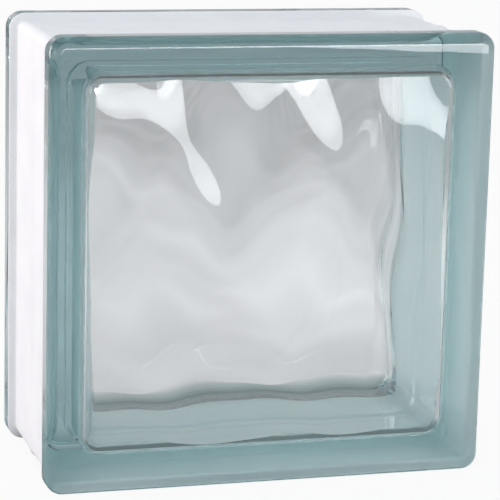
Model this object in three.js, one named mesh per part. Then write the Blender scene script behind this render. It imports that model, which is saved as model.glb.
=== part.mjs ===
// A hollow glass wall block: two pressed glass trays, fused open side to open side round a sealed hollow.
// A rim stands out round each face, and the recessed channel between the two rims takes the mortar.
// The channel carries a thin white coating. The hollow's two large faces carry a flowing wave relief.
//
// Millimetres. +X is the block's width, +Y its depth from the front face to the rear face, and +Z is up.
// The origin is the middle of the block's footprint, on the surface that it stands on.

import * as THREE from "three";
import { mergeVertices } from "three/addons/utils/BufferGeometryUtils.js";

// ---- Outer form ----
const blockWidth = 190;
const blockHeight = 190;
const blockDepth = 100;
const cornerRadius = 7; // of the rim's four corners, seen from the front
const rimEdgeRadius = 4.5; // rounding between a face and the rim's side
const rimDepth = 11.5; // from the face to where the step into the channel begins

// ---- Mortar channel ----
const channelRecess = 3.5; // from the rim's side down to the channel's floor
const stepDraftAngle = 12; // lean of the step, in degrees
const shoulderRadius = 1.4; // outer edge of the step
const channelFilletRadius = 2; // foot of the step
const seamBeadHeight = 0.6; // glass squeezed out where the two trays are fused
const seamBeadWidth = 8;
const coatingThickness = 0.4;

// ---- Hollow ----
const faceThickness = 7.5; // mean thickness of the glass behind each face
const hollowInset = 14.5; // from the rim's side to the hollow's wall, where its fillet begins
const hollowDraftAngle = 1.5; // how the wall opens towards the seam, in degrees
const hollowCornerRadius = 9;
const hollowFilletRadius = 9; // the sweep from the hollow's wall in to its wavy face
const filletOverrun = 1.4; // how far past the mean wavy face the fillet aims: that face cuts it off in a crease
const innerBeadHeight = 0.8; // the fused seam's ridge inside the hollow
const innerBeadWidth = 7;

// ---- Wave relief on the hollow's faces ----
// Each wave is a train of ridges and valleys over the whole face: the distance between crests, the direction
// that it travels in and its shift along that direction, both in degrees, and a crest's height at the edges.
const reliefWaves = [
  { spacing: 80, direction: 43, shift: 20, height: 0.35 },
  { spacing: 54, direction: 28, shift: 85, height: 0.6 },
  { spacing: 64, direction: -9, shift: -145, height: 0.35 },
  { spacing: 120, direction: 90, shift: 95, height: 0.3 },
  { spacing: 27, direction: 25, shift: 135, height: 0.15 },
  { spacing: 60, direction: -70, shift: 45, height: 0.15 },
];
const middleWaveShare = 0.6; // of that height in the middle of the face, from where it grows to the edges

// ---- Facets ----
const outerArcSteps = 6; // round each corner of the outer form
const outerSideSteps = 1;
const hollowArcSteps = 6; // round each corner of the hollow
const hollowSideSteps = 20;
const edgeArcSteps = 5; // over the rim's rounded edge
const stepArcSteps = 3; // over the shoulder, and again over the channel's fillet
const filletArcSteps = 5; // over the hollow's fillet, from the wall to the crease
const beadSteps = 4; // from a bead's foot to its crest
const creaseHalvings = 24; // narrow the crease's place on the fillet to under a thousandth of a degree
const smallestCornerRadius = 1; // left of a corner where rings lie far in from its outline
const mergeDistance = 1e-4; // points nearer than this are one vertex

const tan = (degrees) => Math.tan(THREE.MathUtils.degToRad(degrees));
const cos = (degrees) => Math.cos(THREE.MathUtils.degToRad(degrees));
const sin = (degrees) => Math.sin(THREE.MathUtils.degToRad(degrees));
const seamDepth = blockDepth / 2;

// ---- Outlines seen from the front ----

// The stations round an outline, counterclockwise seen from the front, from half way round the lower left
// corner. Each has the direction that it faces, the side that it is on and how far along that side it lies.
function stationsRound(arcSteps, sideSteps) {
  const stations = [];
  for (let side = 0; side < 4; side += 1) {
    const facing = 270 + 90 * side;
    for (let step = -arcSteps / 2; step < 0; step += 1) {
      stations.push({ facing: facing + (90 * step) / arcSteps, side, share: 0 });
    }
    for (let step = 0; step <= sideSteps; step += 1) {
      stations.push({ facing, side, share: step / sideSteps });
    }
    for (let step = 1; step < arcSteps / 2; step += 1) {
      stations.push({ facing: facing + (90 * step) / arcSteps, side, share: 1 });
    }
  }
  return stations;
}

// Where a station lies on a rectangle with round corners, at one inset from the rim's side.
function placeOf({ facing, side, share }, inset, radius) {
  const halfWidth = blockWidth / 2 - inset;
  const halfHeight = blockHeight / 2 - inset;
  const corner = Math.min(Math.max(radius, smallestCornerRadius), halfWidth, halfHeight);
  const reachX = halfWidth - corner;
  const reachZ = halfHeight - corner;
  const centres = [
    new THREE.Vector2(-reachX, -reachZ),
    new THREE.Vector2(reachX, -reachZ),
    new THREE.Vector2(reachX, reachZ),
    new THREE.Vector2(-reachX, reachZ),
  ];
  const centre = centres[side].lerp(centres[(side + 1) % centres.length], share);
  return {
    x: centre.x + corner * cos(facing),
    z: centre.y + corner * sin(facing) + blockHeight / 2,
  };
}

const outerStations = stationsRound(outerArcSteps, outerSideSteps);
const hollowStations = stationsRound(hollowArcSteps, hollowSideSteps);

function outerPlace(station, inset) {
  return placeOf(station, inset, cornerRadius - inset);
}

function hollowPlace(station, inset) {
  return placeOf(station, inset, hollowCornerRadius - (inset - hollowInset));
}

function pointAt({ x, z }, depth) {
  return new THREE.Vector3(x, depth - seamDepth, z);
}

function outerRing({ inset, depth }) {
  return outerStations.map((station) => pointAt(outerPlace(station, inset), depth));
}

// ---- Profiles: how the inset changes with the depth behind the face ----

// An arc that leaves a profile point at one angle and ends at another. 0 degrees runs straight back along the
// depth, and 90 degrees straight in from the rim's side.
function profileArc(start, radius, fromAngle, toAngle, steps) {
  const turn = Math.sign(toAngle - fromAngle);
  const points = [];
  for (let step = 1; step <= steps; step += 1) {
    const angle = THREE.MathUtils.lerp(fromAngle, toAngle, step / steps);
    points.push({
      inset: start.inset + turn * radius * (cos(fromAngle) - cos(angle)),
      depth: start.depth + turn * radius * (sin(angle) - sin(fromAngle)),
    });
  }
  return points;
}

// One half of a bead that lies along the seam, from its foot to its crest.
function beadProfile(height, width) {
  const points = [];
  for (let step = 0; step <= beadSteps; step += 1) {
    const share = step / beadSteps;
    points.push({
      rise: (height * (1 - cos(180 * share))) / 2,
      depth: seamDepth - (width / 2) * (1 - share),
    });
  }
  return points;
}

// From the flat of the face round its edge and back along the rim's side.
function rimProfile() {
  const edge = { inset: rimEdgeRadius, depth: 0 };
  return [edge, ...profileArc(edge, rimEdgeRadius, -90, 0, edgeArcSteps)];
}

// From the end of the rim's side down the step and along the channel's floor to the seam.
function channelProfile() {
  const slope = 90 - stepDraftAngle;
  const radiusRoom = channelRecess / 2 / (1 - cos(slope));
  const shoulder = Math.min(shoulderRadius, radiusRoom);
  const fillet = Math.min(channelFilletRadius, radiusRoom);
  const rimEnd = { inset: 0, depth: rimDepth };
  const shoulderArc = profileArc(rimEnd, shoulder, 0, slope, stepArcSteps);
  const shoulderEnd = shoulderArc.at(-1);
  const filletInset = channelRecess - fillet * (1 - cos(slope));
  const filletStart = {
    inset: filletInset,
    depth: shoulderEnd.depth + (filletInset - shoulderEnd.inset) / tan(slope),
  };
  const filletArc = profileArc(filletStart, fillet, slope, 0, stepArcSteps);
  const bead = beadProfile(seamBeadHeight, seamBeadWidth);
  const beadArc = bead.map(({ rise, depth }) => ({ inset: channelRecess - rise, depth }));
  return [rimEnd, ...shoulderArc, filletStart, ...filletArc, ...beadArc];
}

// The hollow's fillet, so many degrees round from the end of its wall towards the wavy face.
function filletPoint(angle) {
  return {
    inset: hollowInset + hollowFilletRadius * (1 - cos(angle)),
    depth: faceThickness - filletOverrun + hollowFilletRadius * (1 - sin(angle)),
  };
}

// From the seam forward along the hollow's wall to where its fillet begins.
function wallProfile() {
  const wallEnd = filletPoint(0);
  const wallInset = (depth) => wallEnd.inset - (depth - wallEnd.depth) * tan(hollowDraftAngle);
  const bead = beadProfile(innerBeadHeight, innerBeadWidth).reverse();
  const wall = bead.map(({ rise, depth }) => ({ inset: wallInset(depth) + rise, depth }));
  return [...wall, wallEnd];
}

// Depth of the hollow's wavy face behind the block's face.
function wavyDepth({ x, z }) {
  const height = (wave) => {
    const along = x * cos(wave.direction) + (z - blockHeight / 2) * sin(wave.direction);
    return wave.height * sin((360 * along) / wave.spacing + wave.shift);
  };
  const middleX = cos((90 * x) / (blockWidth / 2 - hollowInset));
  const middleZ = cos((90 * (z - blockHeight / 2)) / (blockHeight / 2 - hollowInset));
  const share = 1 - (1 - middleWaveShare) * middleX * middleZ;
  return faceThickness + share * reliefWaves.reduce((sum, wave) => sum + height(wave), 0);
}

// How far round the fillet a station's crease lies, where the wavy face cuts the fillet off, by halving.
function creaseAngle(station) {
  let low = 0;
  let high = 90;
  for (let halving = 0; halving < creaseHalvings; halving += 1) {
    const middle = (low + high) / 2;
    const { inset, depth } = filletPoint(middle);
    if (depth > wavyDepth(hollowPlace(station, inset))) {
      low = middle;
    } else {
      high = middle;
    }
  }
  return low;
}

// The hollow's rings, from the seam along its wall and round its fillet to the crease.
function hollowRings() {
  const wall = wallProfile();
  const columns = hollowStations.map((station) => {
    const crease = creaseAngle(station);
    const fillet = [];
    for (let step = 1; step <= filletArcSteps; step += 1) {
      fillet.push(filletPoint((crease * step) / filletArcSteps));
    }
    return [...wall, ...fillet].map(({ inset, depth }) => pointAt(hollowPlace(station, inset), depth));
  });
  return columns[0].map((_, ring) => columns.map((column) => column[ring]));
}

// ---- Surfaces: lists of triangle corners, three points for each triangle ----

// The band between neighbouring rings. It faces away from the block's middle where the rings run back along
// the depth, towards the middle where they run forward, and the other way round when it is turned.
function band(rings, turned = false) {
  const corners = [];
  rings.slice(1).forEach((far, index) => {
    const near = rings[index];
    near.forEach((point, here) => {
      const next = (here + 1) % near.length;
      const quad = turned
        ? [point, near[next], far[next], point, far[next], far[here]]
        : [point, far[here], far[next], point, far[next], near[next]];
      corners.push(...quad);
    });
  });
  return corners;
}

// A flat cap across a ring, less what an inner ring leaves open. It faces the front, or the rear if turned.
function cap(ring, innerRing = [], turned = false) {
  const flat = (points) => points.map(({ x, z }) => new THREE.Vector2(x, z));
  const points = [...ring, ...innerRing];
  const holes = innerRing.length ? [flat(innerRing)] : [];
  const faces = THREE.ShapeUtils.triangulateShape(flat(ring), holes);
  const order = turned ? [0, 2, 1] : [0, 1, 2];
  return faces.flatMap((face) => order.map((corner) => points[face[corner]]));
}

// The wavy face inside a ring of the hollow: a grid that runs smoothly from side to side of the ring.
function wavyFace(ring) {
  const count = ring.length / 4;
  const side = { bottom: [], top: [], left: [], right: [] };
  for (let step = 0; step <= count; step += 1) {
    side.bottom.push(ring[step]);
    side.right.push(ring[count + step]);
    side.top.push(ring[3 * count - step]);
    side.left.push(ring[(4 * count - step) % ring.length]);
  }
  const between = (axis, column, row) => {
    const u = column / count;
    const v = row / count;
    const { lerp } = THREE.MathUtils;
    const acrossHeight = lerp(side.bottom[column][axis], side.top[column][axis], v);
    const acrossWidth = lerp(side.left[row][axis], side.right[row][axis], u);
    const lower = lerp(side.bottom[0][axis], side.bottom[count][axis], u);
    const upper = lerp(side.top[0][axis], side.top[count][axis], u);
    return acrossHeight + acrossWidth - lerp(lower, upper, v);
  };
  const grid = [side.bottom];
  for (let row = 1; row < count; row += 1) {
    const inner = [];
    for (let column = 1; column < count; column += 1) {
      const place = { x: between("x", column, row), z: between("z", column, row) };
      inner.push(pointAt(place, wavyDepth(place)));
    }
    grid.push([side.left[row], ...inner, side.right[row]]);
  }
  grid.push(side.top);
  const corners = [];
  for (let row = 0; row < count; row += 1) {
    for (let column = 0; column < count; column += 1) {
      const low = grid[row];
      const high = grid[row + 1];
      corners.push(low[column], high[column], high[column + 1]);
      corners.push(low[column], high[column + 1], low[column + 1]);
    }
  }
  return corners;
}

function solidGeometry(...surfaces) {
  const loose = new THREE.BufferGeometry().setFromPoints(surfaces.flat());
  const solid = mergeVertices(loose, mergeDistance);
  solid.computeVertexNormals();
  return solid;
}

// ---- Materials ----

const glass = new THREE.MeshStandardMaterial({
  color: 0xa9c9c8,
  roughness: 0.03,
  metalness: 0,
  transparent: true,
  opacity: 0.45,
});
const whitePaint = new THREE.MeshStandardMaterial({ color: 0xf3f3f6, roughness: 0.7, metalness: 0 });

// ---- The fused glass halves: one pressed tray, set twice ----

function trayGeometry() {
  const outerRings = [...rimProfile(), ...channelProfile()].map(outerRing);
  const innerRings = hollowRings();
  return solidGeometry(
    cap(outerRings[0]),
    band(outerRings),
    cap(outerRings.at(-1), innerRings[0], true),
    band(innerRings),
    wavyFace(innerRings.at(-1)),
  );
}

const tray = trayGeometry();
const frontHalf = new THREE.Mesh(tray, glass);
frontHalf.name = "front_half";
const rearHalf = new THREE.Mesh(tray, glass);
rearHalf.name = "rear_half";
rearHalf.rotation.z = Math.PI;

// ---- The white coating: a thin skin round the channel, from shoulder to shoulder ----

// The profile moved out from the glass by the coating's thickness. Its two ends stay, as feather edges.
function coatedProfile(profile) {
  return profile.map((point, index) => {
    if (index === 0 || index === profile.length - 1) {
      return point;
    }
    const before = profile[index - 1];
    const after = profile[index + 1];
    const back = after.depth - before.depth;
    const down = after.inset - before.inset;
    const length = Math.hypot(back, down);
    return {
      inset: point.inset - (coatingThickness * back) / length,
      depth: point.depth + (coatingThickness * down) / length,
    };
  });
}

function coatingGeometry() {
  const frontProfile = channelProfile().slice(1);
  const mirrored = ({ inset, depth }) => ({ inset, depth: blockDepth - depth });
  const rearProfile = frontProfile.slice(0, -1).map(mirrored).reverse();
  const glassProfile = [...frontProfile, ...rearProfile];
  const onGlass = glassProfile.map(outerRing);
  const outside = coatedProfile(glassProfile).map(outerRing);
  return solidGeometry(band(outside), band(onGlass, true));
}

const edgeCoating = new THREE.Mesh(coatingGeometry(), whitePaint);
edgeCoating.name = "edge_coating";

const glassBlock = new THREE.Group();
glassBlock.add(frontHalf, rearHalf, edgeCoating);

export default glassBlock;
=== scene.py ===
"""A hollow glass wall block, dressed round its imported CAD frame.

The two pressed halves of the frame are one piece of glass on the real block, so one fused glass
body stands for both: a smooth outer skin, and the skin of the sealed hollow with its wave relief.
A white coating lines the mortar channel. Everything is in metres in the frame's own axes: +Y runs
from the front face to the rear face, +Z is up.
"""

import math

import bpy
import numpy as np
from mathutils import Euler, Matrix, Vector


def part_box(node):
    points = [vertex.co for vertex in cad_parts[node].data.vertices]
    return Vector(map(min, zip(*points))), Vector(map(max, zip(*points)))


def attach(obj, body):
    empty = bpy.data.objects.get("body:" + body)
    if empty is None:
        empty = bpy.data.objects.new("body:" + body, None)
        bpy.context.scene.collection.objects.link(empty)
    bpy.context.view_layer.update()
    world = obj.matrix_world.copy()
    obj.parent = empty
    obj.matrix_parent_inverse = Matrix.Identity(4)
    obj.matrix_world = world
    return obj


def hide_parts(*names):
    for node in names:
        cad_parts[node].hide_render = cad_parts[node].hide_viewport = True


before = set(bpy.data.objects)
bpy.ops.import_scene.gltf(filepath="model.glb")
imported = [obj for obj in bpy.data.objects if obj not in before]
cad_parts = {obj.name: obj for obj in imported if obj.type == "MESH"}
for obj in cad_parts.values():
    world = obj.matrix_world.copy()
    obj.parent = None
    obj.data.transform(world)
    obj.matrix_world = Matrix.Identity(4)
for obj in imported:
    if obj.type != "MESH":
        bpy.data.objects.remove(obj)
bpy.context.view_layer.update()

MM = 0.001

# ---- Sizes of the block, from the frame and as in the part's source ----
front_low, front_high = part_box("front_half")
_, rear_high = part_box("rear_half")
WIDTH = front_high.x - front_low.x
HEIGHT = front_high.z - front_low.z
DEPTH = rear_high.y - front_low.y
SEAM_DEPTH = DEPTH / 2
CORNER_RADIUS = 7 * MM
RIM_EDGE_RADIUS = 4.5 * MM
RIM_DEPTH = 11.5 * MM
CHANNEL_RECESS = 3.5 * MM
STEP_DRAFT_ANGLE = 12
SHOULDER_RADIUS = 1.4 * MM
CHANNEL_FILLET_RADIUS = 2 * MM
SEAM_BEAD_HEIGHT = 0.6 * MM
SEAM_BEAD_WIDTH = 8 * MM
COATING_THICKNESS = 0.4 * MM
COATING_BITE = 0.05 * MM  # how far the coating's inner side lies under the glass that it wets
FACE_THICKNESS = 7.5 * MM
HOLLOW_INSET = 14.5 * MM
HOLLOW_DRAFT_ANGLE = 1.5
HOLLOW_CORNER_RADIUS = 9 * MM
HOLLOW_FILLET_RADIUS = 9 * MM
FILLET_OVERRUN = 1.4 * MM  # how far past the mean face the fillet would end, if it weren't cut off
FILLET_TOP_DEPTH = FACE_THICKNESS - FILLET_OVERRUN
INNER_BEAD_HEIGHT = 0.8 * MM
INNER_BEAD_WIDTH = 7 * MM
RELIEF_WAVES = (
    # spacing between crests in mm, direction and shift in degrees, crest height in mm
    (80, 43, 20, 0.35),
    (54, 28, 85, 0.6),
    (64, -9, -145, 0.35),
    (120, 90, 95, 0.3),
    (27, 25, 135, 0.15),
    (60, -70, 45, 0.15),
)
MIDDLE_WAVE_SHARE = 0.6  # of the waves' height in the middle of the face: they grow outwards

# ---- Fineness of the meshes ----
ARC_STEPS = 16  # round each corner
SIDE_STEPS = 56  # along each side
EDGE_STEPS = 12  # over the rim's round edge
STEP_ARC_STEPS = 6  # over the shoulder and the fillet of the step into the channel
FILLET_STEPS = 14  # over the hollow's fillet
BEAD_STEPS = 10  # over half a bead
WALL_STEPS = 6  # along the hollow's wall
CREASE_HALVINGS = 24  # of the range in which the crease is sought
SUPPORT = 0.25 * MM  # a ring this far inside a flat keeps the flat's shading flat


def sin(degrees):
    return math.sin(math.radians(degrees))


def cos(degrees):
    return math.cos(math.radians(degrees))


def tan(degrees):
    return math.tan(math.radians(degrees))


# ---- Outlines and profiles, as in the part's source ----


def outline(inset, radius):
    """Points (x, z) round the block at an inset, and the way out at each, as two arrays.

    They run counterclockwise seen from the front, from half way round the lower left corner.
    """
    half_width = WIDTH / 2 - inset
    half_height = HEIGHT / 2 - inset
    reach_x, reach_z = half_width - radius, half_height - radius
    corners = [(-reach_x, -reach_z), (reach_x, -reach_z), (reach_x, reach_z), (-reach_x, reach_z)]
    points = []
    ways_out = []

    def add(centre, degrees):
        way_out = (cos(degrees), sin(degrees))
        x, z = (middle + radius * part for middle, part in zip(centre, way_out))
        points.append((x, z + HEIGHT / 2))
        ways_out.append(way_out)

    for side, start in enumerate(corners):
        end = corners[(side + 1) % 4]
        facing = 270 + 90 * side
        for step in range(-ARC_STEPS // 2, 0):
            add(start, facing + 90 * step / ARC_STEPS)
        for step in range(SIDE_STEPS + 1):
            share = step / SIDE_STEPS
            centre = [a + (b - a) * share for a, b in zip(start, end)]
            add(centre, facing)
        for step in range(1, ARC_STEPS // 2):
            add(end, facing + 90 * step / ARC_STEPS)
    return np.array(points), np.array(ways_out)


def profile_arc(start, radius, from_angle, to_angle, steps):
    """Profile points (inset, depth) on an arc.

    0 degrees runs back along the depth, and 90 degrees straight in.
    """
    turn = math.copysign(1, to_angle - from_angle)
    points = []
    for step in range(1, steps + 1):
        angle = from_angle + (to_angle - from_angle) * step / steps
        inset = start[0] + turn * radius * (cos(from_angle) - cos(angle))
        depth = start[1] + turn * radius * (sin(angle) - sin(from_angle))
        points.append((inset, depth))
    return points


def bead_profile(height, width):
    """(rise, depth) over half a bead on the seam, from its foot to its crest."""
    points = []
    for step in range(BEAD_STEPS + 1):
        share = step / BEAD_STEPS
        rise = height * (1 - cos(180 * share)) / 2
        points.append((rise, SEAM_DEPTH - width / 2 * (1 - share)))
    return points


def rim_profile():
    """(inset, depth) from the face's edge over the rim's round edge."""
    edge = (RIM_EDGE_RADIUS, 0)
    arc = profile_arc(edge, RIM_EDGE_RADIUS, -90, 0, EDGE_STEPS)
    return [edge, *arc, (0, RIM_EDGE_RADIUS + SUPPORT)]


def channel_profile():
    """(inset, depth) from the rim's end down the step and along the channel to the seam."""
    slope = 90 - STEP_DRAFT_ANGLE
    rim_end = (0, RIM_DEPTH)
    shoulder = profile_arc(rim_end, SHOULDER_RADIUS, 0, slope, STEP_ARC_STEPS)
    fillet_inset = CHANNEL_RECESS - CHANNEL_FILLET_RADIUS * (1 - cos(slope))
    fillet_depth = shoulder[-1][1] + (fillet_inset - shoulder[-1][0]) / tan(slope)
    fillet_start = (fillet_inset, fillet_depth)
    fillet = profile_arc(fillet_start, CHANNEL_FILLET_RADIUS, slope, 0, STEP_ARC_STEPS)
    floor_support = (CHANNEL_RECESS, fillet[-1][1] + SUPPORT)
    bead = bead_profile(SEAM_BEAD_HEIGHT, SEAM_BEAD_WIDTH)
    bead_arc = [(CHANNEL_RECESS - rise, depth) for rise, depth in bead]
    return [rim_end, *shoulder, fillet_start, *fillet, floor_support, *bead_arc]


def wall_profile():
    """(distance in from the hollow's base outline, depth) from the seam to the fillet's start."""
    wall_end = FILLET_TOP_DEPTH + HOLLOW_FILLET_RADIUS
    bead = reversed(bead_profile(INNER_BEAD_HEIGHT, INNER_BEAD_WIDTH))
    points = [(rise, depth) for rise, depth in bead]
    bead_foot = points[-1][1]
    for step in range(1, WALL_STEPS + 1):
        points.append((0, bead_foot + (wall_end - bead_foot) * step / WALL_STEPS))
    slope = tan(HOLLOW_DRAFT_ANGLE)
    return [(rise - (depth - wall_end) * slope, depth) for rise, depth in points]


def relief(x, z):
    """Height of the waves over the mean inner face of the front half, for arrays of x and z."""
    height = np.zeros_like(x)
    for spacing, direction, shift, crest in RELIEF_WAVES:
        along = x * cos(direction) + (z - HEIGHT / 2) * sin(direction)
        height += crest * MM * np.sin(math.tau * along / (spacing * MM) + math.radians(shift))
    calm_x = np.cos(math.pi / 2 * x / (WIDTH / 2 - HOLLOW_INSET))
    calm_z = np.cos(math.pi / 2 * (z - HEIGHT / 2) / (HEIGHT / 2 - HOLLOW_INSET))
    return height * (1 - (1 - MIDDLE_WAVE_SHARE) * calm_x * calm_z)


# ---- Skins: rings of points joined into quads ----


class Skin:
    """Vertices and faces of one mesh, built from rings that all have as many points."""

    def __init__(self):
        self.points = []
        self.faces = []
        self.creases = set()

    def ring(self, xz, y):
        """Adds a ring of points, and gives back their numbers."""
        start = len(self.points)
        self.points += [(x, depth, z) for (x, z), depth in zip(xz, np.broadcast_to(y, len(xz)))]
        return list(range(start, len(self.points)))

    def crease(self, ring):
        """The edges along a ring stay sharp, where the rest is shaded smooth."""
        self.creases |= {frozenset(pair) for pair in zip(ring, [*ring[1:], ring[0]])}

    def band(self, rings, turned=False):
        """Faces away from the middle where the rings run towards +Y, or the other way if turned."""
        for near, far in zip(rings, rings[1:]):
            for here in range(len(near)):
                after = (here + 1) % len(near)
                quad = (near[here], far[here], far[after], near[after])
                self.faces.append(quad[::-1] if turned else quad)

    def patch(self, ring, y_at, turned=False):
        """A grid inside a ring, with y_at(x, z) as its surface. It faces -Y, or +Y if turned."""
        count = len(ring) // 4
        xz = np.array([(self.points[i][0], self.points[i][2]) for i in ring])
        bottom = xz[: count + 1]
        right = xz[count : 2 * count + 1]
        top = xz[2 * count : 3 * count + 1][::-1]
        left = np.concatenate([xz[3 * count :], xz[:1]])[::-1]
        u = np.linspace(0, 1, count + 1)[None, :, None]
        v = np.linspace(0, 1, count + 1)[:, None, None]
        across = (1 - v) * bottom[None] + v * top[None]
        across = across + (1 - u) * left[:, None] + u * right[:, None]
        low = (1 - u) * bottom[0] + u * bottom[-1]
        high = (1 - u) * top[0] + u * top[-1]
        grid = across - (1 - v) * low - v * high
        index = np.zeros((count + 1, count + 1), int)
        index[0] = ring[: count + 1]
        index[:, -1] = ring[count : 2 * count + 1]
        index[-1] = ring[2 * count : 3 * count + 1][::-1]
        index[:, 0] = ([*ring[3 * count :], ring[0]])[::-1]
        inner = grid[1:-1, 1:-1].reshape(-1, 2)
        added = self.ring(inner, y_at(inner[:, 0], inner[:, 1]))
        index[1:-1, 1:-1] = np.array(added).reshape(count - 1, count - 1)
        for row in range(count):
            for column in range(count):
                quad = (
                    index[row, column],
                    index[row, column + 1],
                    index[row + 1, column + 1],
                    index[row + 1, column],
                )
                self.faces.append([int(i) for i in (quad[::-1] if turned else quad)])

    def to_object(self, name, material):
        mesh = bpy.data.meshes.new(name)
        mesh.from_pydata(self.points, [], self.faces)
        mesh.validate()
        mesh.materials.append(material)
        mesh.shade_smooth()
        for edge in mesh.edges:
            edge.use_edge_sharp = frozenset(edge.vertices) in self.creases
        made = bpy.data.objects.new(name, mesh)
        bpy.context.scene.collection.objects.link(made)
        return made


def outer_ring(skin, inset, y):
    return skin.ring(outline(inset, CORNER_RADIUS - inset)[0], y)


# ---- Node materials ----

GLASS_IOR = 1.52
GLASS_TINT = (0.24, 0.58, 0.60, 1)
GLASS_TINT_DENSITY = 12.5
RIPPLE_SCALE, RIPPLE_DETAIL = 45, 1.5  # of the faint unevenness that pressing leaves on the glass
RIPPLE_STRENGTH, RIPPLE_HEIGHT = 0.05, 0.15 * MM
PAINT = ((0.70, 0.70, 0.725), (0.75, 0.75, 0.77))  # from darkest to lightest
PAINT_ON_GLASS_PAINTED_LIGHTER = ((0.90, 0.89, 0.89), (0.93, 0.92, 0.92))  # as seen through the glass that it wets, and lighter than PAINT: painted light on the hollow's walls
PAINT_ROUGHNESS = 0.65
MOTTLING_SCALE, MOTTLING_DETAIL = 60, 5
GRAIN_SCALE, GRAIN_DETAIL = 900, 3
GRAIN_STRENGTH, GRAIN_HEIGHT = 0.3, 0.1 * MM
NOISE_LOW, NOISE_HIGH = 0.3, 0.7  # the range that most of a noise's values lie in


def new_material(name):
    material = bpy.data.materials.new(name)
    material.use_nodes = True
    material.node_tree.nodes.clear()
    return material, material.node_tree


def feed(tree, socket, given):
    """Links a socket to the input, or sets a constant on it."""
    if isinstance(given, bpy.types.NodeSocket):
        tree.links.new(given, socket)
    else:
        socket.default_value = given


def object_place(tree):
    return tree.nodes.new("ShaderNodeTexCoord").outputs["Object"]


def noise(tree, place, scale, detail):
    node = tree.nodes.new("ShaderNodeTexNoise")
    node.inputs["Scale"].default_value = scale
    node.inputs["Detail"].default_value = detail
    tree.links.new(place, node.inputs["Vector"])
    return node.outputs["Fac"]


def bumped(tree, height, strength, distance):
    """The normal of a surface with that height on it."""
    node = tree.nodes.new("ShaderNodeBump")
    node.inputs["Strength"].default_value = strength
    node.inputs["Distance"].default_value = distance
    tree.links.new(height, node.inputs["Height"])
    return node.outputs["Normal"]


def glass_material():
    """Fire-polished glass: clear and sharp, and greener the further light goes through it."""
    material, tree = new_material("block_glass")
    surface = tree.nodes.new("ShaderNodeBsdfPrincipled")
    surface.inputs["Base Color"].default_value = (1, 1, 1, 1)
    surface.inputs["Transmission Weight"].default_value = 1
    surface.inputs["IOR"].default_value = GLASS_IOR
    surface.inputs["Roughness"].default_value = 0
    ripple = noise(tree, object_place(tree), RIPPLE_SCALE, RIPPLE_DETAIL)
    normal = bumped(tree, ripple, RIPPLE_STRENGTH, RIPPLE_HEIGHT)
    tree.links.new(normal, surface.inputs["Normal"])
    absorption = tree.nodes.new("ShaderNodeVolumeAbsorption")
    absorption.inputs["Color"].default_value = GLASS_TINT
    absorption.inputs["Density"].default_value = GLASS_TINT_DENSITY
    output = tree.nodes.new("ShaderNodeOutputMaterial")
    tree.links.new(surface.outputs["BSDF"], output.inputs["Surface"])
    tree.links.new(absorption.outputs["Volume"], output.inputs["Volume"])
    return material


def coating_material(name, darkest, lightest):
    """Matt white paint, brushed on round the channel."""
    material, tree = new_material(name)
    surface = tree.nodes.new("ShaderNodeBsdfPrincipled")
    surface.inputs["Roughness"].default_value = PAINT_ROUGHNESS
    place = object_place(tree)
    tint = tree.nodes.new("ShaderNodeValToRGB")
    ends = zip(tint.color_ramp.elements, (NOISE_LOW, NOISE_HIGH), (darkest, lightest))
    for end, position, colour in ends:
        end.position = position
        end.color = (*colour, 1)
    tree.links.new(noise(tree, place, MOTTLING_SCALE, MOTTLING_DETAIL), tint.inputs["Fac"])
    tree.links.new(tint.outputs["Color"], surface.inputs["Base Color"])
    grain = noise(tree, place, GRAIN_SCALE, GRAIN_DETAIL)
    normal = bumped(tree, grain, GRAIN_STRENGTH, GRAIN_HEIGHT)
    tree.links.new(normal, surface.inputs["Normal"])
    output = tree.nodes.new("ShaderNodeOutputMaterial")
    tree.links.new(surface.outputs["BSDF"], output.inputs["Surface"])
    return material


# ---- The fused glass body ----


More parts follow.
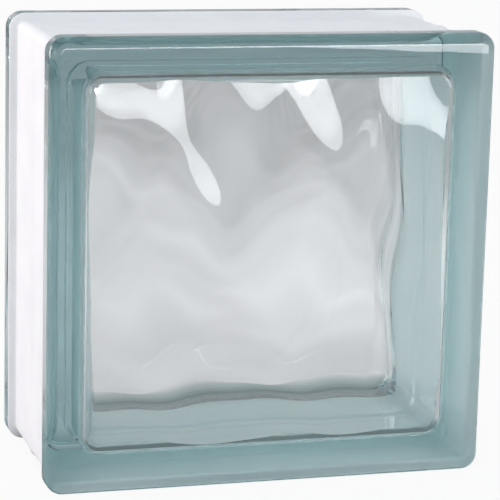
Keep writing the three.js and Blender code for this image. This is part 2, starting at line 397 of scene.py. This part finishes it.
def make_glass(material):
    skin = Skin()
    half_profile = [*rim_profile(), *channel_profile()]
    profile = [(inset, depth - SEAM_DEPTH) for inset, depth in half_profile]
    profile += [(inset, -y) for inset, y in reversed(profile[:-1])]
    face_edge = (RIM_EDGE_RADIUS + SUPPORT, -SEAM_DEPTH)
    profile = [face_edge, *profile, (face_edge[0], SEAM_DEPTH)]
    rings = [outer_ring(skin, inset, y) for inset, y in profile]
    skin.band(rings)
    skin.patch(rings[0], lambda x, z: -SEAM_DEPTH)
    skin.patch(rings[-1], lambda x, z: SEAM_DEPTH, turned=True)

    base, ways_out = outline(HOLLOW_INSET, HOLLOW_CORNER_RADIUS)

    def inward(distance):
        return base - ways_out * np.broadcast_to(distance, len(base))[:, None]

    def on_fillet(angle):
        """(distance in from the hollow's base outline, depth) at angles round the fillet."""
        distance = HOLLOW_FILLET_RADIUS * (1 - np.cos(angle))
        return distance, FILLET_TOP_DEPTH + HOLLOW_FILLET_RADIUS * (1 - np.sin(angle))

    def face_depth(side, xz):
        return FACE_THICKNESS + relief(-side * xz[:, 0], xz[:, 1])

    def crease_angle(side):
        """How far round the fillet, in radians, it meets the wavy face at each ring point."""
        low, high = np.zeros(len(base)), np.full(len(base), 90.0)
        for _ in range(CREASE_HALVINGS):
            middle = (low + high) / 2
            distance, depth = on_fillet(np.radians(middle))
            beyond = depth < face_depth(side, inward(distance))
            low, high = np.where(beyond, low, middle), np.where(beyond, middle, high)
        return np.radians(low)

    def hollow_half(side):
        """Rings from the seam to the wavy face.

        The side is -1 in front and 1 at the rear, where the same half is turned half a turn.
        """
        crease = crease_angle(side)
        fillet = [on_fillet(crease * step / FILLET_STEPS) for step in range(1, FILLET_STEPS + 1)]
        found = []
        for distance, depth in [*wall_profile(), *fillet]:
            found.append(skin.ring(inward(distance), side * (SEAM_DEPTH - depth)))
        skin.crease(found[-1])
        return found

    front = hollow_half(-1)
    rear = hollow_half(1)
    hollow_rings = [*reversed(front), *rear[1:]]
    skin.band(hollow_rings, turned=True)

    def wavy(side):
        return lambda x, z: side * (SEAM_DEPTH - FACE_THICKNESS - relief(-side * x, z))

    skin.patch(hollow_rings[0], wavy(-1), turned=True)
    skin.patch(hollow_rings[-1], wavy(1))
    return skin.to_object("fused_glass", material)


# ---- The white coating in the channel ----

COATING_START = 2  # points of the channel's profile that stay bare, at the top of the shoulder


def shifted(profile, distance):
    """The profile moved outwards by a distance, along its own normals."""
    moved = []
    for here, (inset, y) in enumerate(profile):
        before = profile[max(here - 1, 0)]
        after = profile[min(here + 1, len(profile) - 1)]
        down, back = after[0] - before[0], after[1] - before[1]
        length = math.hypot(down, back)
        moved.append((inset - distance * back / length, y + distance * down / length))
    return moved


def make_coating(outside_paint, glass_side_paint_painted_lighter):
    skin = Skin()
    half = [(inset, depth - SEAM_DEPTH) for inset, depth in channel_profile()[COATING_START:]]
    profile = [*half, *[(inset, -y) for inset, y in reversed(half[:-1])]]
    outside = shifted(profile, COATING_THICKNESS)
    inside = shifted(profile, -COATING_BITE)
    outside[0], outside[-1] = profile[0], profile[-1]
    outside_rings = [outer_ring(skin, inset, y) for inset, y in outside]
    first_inside = len(skin.points)
    inside_rings = [outer_ring(skin, inset, y) for inset, y in inside]
    skin.band(outside_rings)
    skin.band(inside_rings, turned=True)
    skin.band([inside_rings[0], outside_rings[0]])
    skin.band([outside_rings[-1], inside_rings[-1]])
    made = skin.to_object("channel_coating", outside_paint)
    # the glass side gets the lighter paint, which is painted light on the hollow's walls
    made.data.materials.append(glass_side_paint_painted_lighter)
    for face in made.data.polygons:
        face.material_index = int(any(index >= first_inside for index in face.vertices))
    return made


glass = make_glass(glass_material())
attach(glass, "root")
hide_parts("front_half", "rear_half")

# The paint on the glass side is lighter than outside: painted light that brightens the hollow's
# walls.
coating = make_coating(
    coating_material("white_coating", *PAINT),
    coating_material("white_coating_on_glass_painted_lighter", *PAINT_ON_GLASS_PAINTED_LIGHTER),
)
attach(coating, "root")
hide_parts("edge_coating")

# ---- Stage: a pale floor that runs out of view, soft lamps and a bright surround ----

WHITE = (1, 1, 1, 1)
FLOOR_SIDE = 12.0
FLOOR_COLOUR = (0.5, 0.5, 0.5, 1)  # under the lamps
FLOOR_SHOWN_SHARE = 0.92  # how much of the floor's brightness the lamps and shadows don't change
SURROUND_LIGHT = 1.05  # the surround's own light on the block
SURROUND_LIGHT_TINT = (0.95, 1, 1.03, 1)

# The surround and the floor as seen in reflections and through glass: grey, with pools of light
# on the floor. 1 is white.
SHOWN_TINT = (1, 0.96, 0.985, 1)
FAR_IN_GLASS = 0.50
OVERHEAD_IN_GLASS = 0.12
DARKENING_FROM = 0.45  # rise of a way out, as a share of its length, where the surround darkens
DARKENING_TO = 0.85
POOLS_IN_GLASS = (  # middle, reach and the tone at the middle
    ((0.16, 0.32, 0), 0.5, 0.885),
    ((-0.25, 0.45, 0), 0.35, 0.85),
    ((-0.5, -0.1, 0), 0.35, 1),
    ((0.5, -0.1, 0), 0.35, 1),
    ((0, -0.5, 0), 0.5, 0.85),
    ((0.34, 0.16, 0), 0.18, 1),
)
CLOUD_SCALE, CLOUD_DETAIL = 10, 1
UNEVENNESS = 0.1  # how far the clouds take the floor's tone up and down, as a share
UNDER_BLOCK_SHARE = 0.33  # of the floor's tone that is left under the block
UNDER_BLOCK_TINT = (0.8, 1, 1.03, 1)  # of the light that comes there through the green glass
SHADE_REACH = 0.035  # how far the block's shade runs out round its foot

BLOCK_MIDDLE = Vector((0, 0, HEIGHT / 2))
SOFTBOX_MIDDLE_GLOW = 1.7  # times the glow of an even lamp
SOFTBOX_EDGE_GLOW = 0.6
LAMP_MIDDLE = (0.5, 0.5, 0)  # where a lamp's own coordinates run from 0 to 1
LAMP_HALF_SIZE = 0.5
SOFTBOXES = (  # name, place, width and height, power in watts and colour
    ("left_softbox", (-1.4, -0.7, 0.45), (0.9, 0.9), 4, (1, 0.95, 0.94)),
    ("rear_left_softbox", (-1.2, 0.9, 0.35), (0.9, 0.9), 13.5, (1, 0.88, 0.85)),
    ("right_softbox", (0.54, -1.4, 0.103), (0.94, 0.2), 7, (1, 0.97, 1)),
)


def maths(tree, operation, first, second):
    """A maths node's result, where each input is a socket or a number."""
    node = tree.nodes.new("ShaderNodeMath")
    node.operation = operation
    for socket, given in zip(node.inputs, (first, second)):
        feed(tree, socket, given)
    return node.outputs["Value"]


def vector_maths(tree, operation, first, second=(0, 0, 0)):
    """A vector maths node's outputs, for a socket and a constant."""
    node = tree.nodes.new("ShaderNodeVectorMath")
    node.operation = operation
    for socket, given in zip(node.inputs, (first, second)):
        feed(tree, socket, given)
    return node.outputs


def map_range(tree, value, low, high, at_low, at_high):
    """The value's place between low and high, as a value between at_low and at_high."""
    node = tree.nodes.new("ShaderNodeMapRange")
    names = ("Value", "From Min", "From Max", "To Min", "To Max")
    for name, given in zip(names, (value, low, high, at_low, at_high)):
        feed(tree, node.inputs[name], given)
    return node.outputs["Result"]


def glass_alone(tree, path):
    """1 for a ray that comes from the camera by way of glass alone, or else 0."""
    in_glass = maths(tree, "MAXIMUM", path["Is Glossy Ray"], path["Is Transmission Ray"])
    undiffused = maths(tree, "LESS_THAN", path["Diffuse Depth"], 0.5)  # that is, 0
    return maths(tree, "MULTIPLY", in_glass, undiffused)


def glowing(tree, kind, colour, strength):
    """The shader of an emission or background node, from sockets or constants."""
    node = tree.nodes.new(kind)
    feed(tree, node.inputs["Color"], colour)
    feed(tree, node.inputs["Strength"], strength)
    return node.outputs[0]


def mixed(tree, share, first, second):
    """The second shader in that share, and the first in what is left."""
    node = tree.nodes.new("ShaderNodeMixShader")
    for socket, given in zip(node.inputs, (share, first, second)):
        tree.links.new(given, socket)
    return node.outputs["Shader"]


def shade_round_foot(tree, place):
    """The share of the floor's tone left by the block's shade, by the distance to its foot."""
    place = vector_maths(tree, "ABSOLUTE", place)["Vector"]
    place = vector_maths(tree, "SUBTRACT", place, (WIDTH / 2, DEPTH / 2, 0))["Vector"]
    place = vector_maths(tree, "MAXIMUM", place)["Vector"]
    distance = vector_maths(tree, "LENGTH", place)["Value"]
    return map_range(tree, distance, 0, SHADE_REACH, UNDER_BLOCK_SHARE, 1)


def pools_of_light(tree, place):
    """The floor's tone, which falls evenly from the middle of each pool to its reach."""
    tone = FAR_IN_GLASS
    for middle, reach, middle_tone in POOLS_IN_GLASS:
        distance = vector_maths(tree, "DISTANCE", place, middle)["Value"]
        pool = map_range(tree, distance, 0, reach, middle_tone, FAR_IN_GLASS)
        tone = maths(tree, "MAXIMUM", tone, pool)
    return tone


def clouds(tree, place):
    """A soft cloudy share of the floor's tone, so that the waves' bending of light shows."""
    cloud = noise(tree, place, CLOUD_SCALE, CLOUD_DETAIL)
    return map_range(tree, cloud, NOISE_LOW, NOISE_HIGH, 1 - UNEVENNESS, 1 + UNEVENNESS)


def floor_in_glass(tree):
    """The floor as glass shows it: pools of light, clouds, and the block's tinted shade."""
    place = object_place(tree)
    cloudy = maths(tree, "MULTIPLY", pools_of_light(tree, place), clouds(tree, place))
    tone = maths(tree, "MINIMUM", cloudy, 1)
    shade = shade_round_foot(tree, place)
    tint = tree.nodes.new("ShaderNodeMixRGB")
    tint.inputs["Color1"].default_value = UNDER_BLOCK_TINT
    tint.inputs["Color2"].default_value = SHOWN_TINT
    tree.links.new(map_range(tree, shade, UNDER_BLOCK_SHARE, 1, 0, 1), tint.inputs["Fac"])
    strength = maths(tree, "MULTIPLY", tone, shade)
    return glowing(tree, "ShaderNodeEmission", tint.outputs["Color"], strength)


def floor_material():
    """Matt under the lamps, and for the most part white to the camera and grey through glass."""
    material, tree = new_material("studio_floor")
    path = tree.nodes.new("ShaderNodeLightPath").outputs
    matt = tree.nodes.new("ShaderNodeBsdfDiffuse")
    matt.inputs["Color"].default_value = FLOOR_COLOUR
    white = glowing(tree, "ShaderNodeEmission", WHITE, 1)
    shown = mixed(tree, path["Is Camera Ray"], floor_in_glass(tree), white)
    looked_at = maths(tree, "MAXIMUM", path["Is Camera Ray"], glass_alone(tree, path))
    share = maths(tree, "MULTIPLY", looked_at, FLOOR_SHOWN_SHARE)
    output = tree.nodes.new("ShaderNodeOutputMaterial")
    tree.links.new(mixed(tree, share, matt.outputs["BSDF"], shown), output.inputs["Surface"])
    return material


def make_floor():
    half = FLOOR_SIDE / 2
    mesh = bpy.data.meshes.new("studio_floor")
    corners = [(-half, -half, 0), (half, -half, 0), (half, half, 0), (-half, half, 0)]
    mesh.from_pydata(corners, [], [(0, 1, 2, 3)])
    mesh.materials.append(floor_material())
    made = bpy.data.objects.new("studio_floor", mesh)
    bpy.context.scene.collection.objects.link(made)


def make_world():
    world = bpy.data.worlds.new("studio")
    world.use_nodes = True
    tree = world.node_tree
    tree.nodes.clear()
    path = tree.nodes.new("ShaderNodeLightPath").outputs
    way = tree.nodes.new("ShaderNodeSeparateXYZ")
    tree.links.new(tree.nodes.new("ShaderNodeTexCoord").outputs["Generated"], way.inputs["Vector"])
    rise = way.outputs["Z"]
    tone = map_range(tree, rise, DARKENING_FROM, DARKENING_TO, FAR_IN_GLASS, OVERHEAD_IN_GLASS)
    light = glowing(tree, "ShaderNodeBackground", SURROUND_LIGHT_TINT, SURROUND_LIGHT)
    in_glass = glowing(tree, "ShaderNodeBackground", SHOWN_TINT, tone)
    white = glowing(tree, "ShaderNodeBackground", WHITE, 1)
    off_camera = mixed(tree, glass_alone(tree, path), light, in_glass)
    surround = mixed(tree, path["Is Camera Ray"], off_camera, white)
    output = tree.nodes.new("ShaderNodeOutputWorld")
    tree.links.new(surround, output.inputs["Surface"])
    bpy.context.scene.world = world


def make_softbox(name, place, size, power, colour):
    lamp = bpy.data.lights.new(name, "AREA")
    lamp.shape = "RECTANGLE"
    lamp.size, lamp.size_y = size
    lamp.energy = power
    lamp.color = colour
    lamp.use_nodes = True
    tree = lamp.node_tree
    tree.nodes.clear()
    on_lamp = tree.nodes.new("ShaderNodeNewGeometry").outputs["Parametric"]
    from_middle = vector_maths(tree, "DISTANCE", on_lamp, LAMP_MIDDLE)["Value"]
    glows = (SOFTBOX_MIDDLE_GLOW, SOFTBOX_EDGE_GLOW)
    glow = map_range(tree, from_middle, 0, LAMP_HALF_SIZE, *glows)
    output = tree.nodes.new("ShaderNodeOutputLight")
    tree.links.new(glowing(tree, "ShaderNodeEmission", WHITE, glow), output.inputs["Surface"])
    made = bpy.data.objects.new(name, lamp)
    made.location = place
    made.rotation_euler = (BLOCK_MIDDLE - Vector(place)).to_track_quat("-Z", "Y").to_euler()
    made.visible_camera = False
    bpy.context.scene.collection.objects.link(made)


make_floor()
make_world()
for softbox in SOFTBOXES:
    make_softbox(*softbox)

# ---- Camera: the photograph's view of the block ----

CAMERA_AZIMUTH = -16.65  # degrees round from straight in front, towards -X
CAMERA_ELEVATION = 12.05
CAMERA_ROLL = 1.46
CAMERA_DISTANCE = 1.0221
CAMERA_AIM = Vector((0, -0.010, 0.095))
CAMERA_SLIDE = (0.0012, -0.0024)  # of the aim, to the picture's right and up
SENSOR_WIDTH = 36.0
FOCAL_LENGTH = 171.2


def make_camera():
    data = bpy.data.cameras.new("studio_camera")
    data.sensor_width = SENSOR_WIDTH
    data.lens = FOCAL_LENGTH
    camera = bpy.data.objects.new("studio_camera", data)
    turn = Euler((math.radians(90 - CAMERA_ELEVATION), 0, math.radians(CAMERA_AZIMUTH)))
    rotation = turn.to_matrix()
    aim = CAMERA_AIM + rotation @ Vector((*CAMERA_SLIDE, 0))
    place = aim + rotation @ Vector((0, 0, CAMERA_DISTANCE))
    roll = Matrix.Rotation(math.radians(CAMERA_ROLL), 3, "Z")
    camera.matrix_world = Matrix.Translation(place) @ (rotation @ roll).to_4x4()
    bpy.context.scene.collection.objects.link(camera)
    bpy.context.scene.camera = camera


make_camera()

# ---- Colours as written, and light through many surfaces of glass ----

scene = bpy.context.scene
scene.view_settings.view_transform = "Standard"
scene.cycles.max_bounces = 32
scene.cycles.transmission_bounces = 32
scene.cycles.glossy_bounces = 16
scene.cycles.blur_glossy = 0  # the coating is lit through clear glass, which blurring would dim
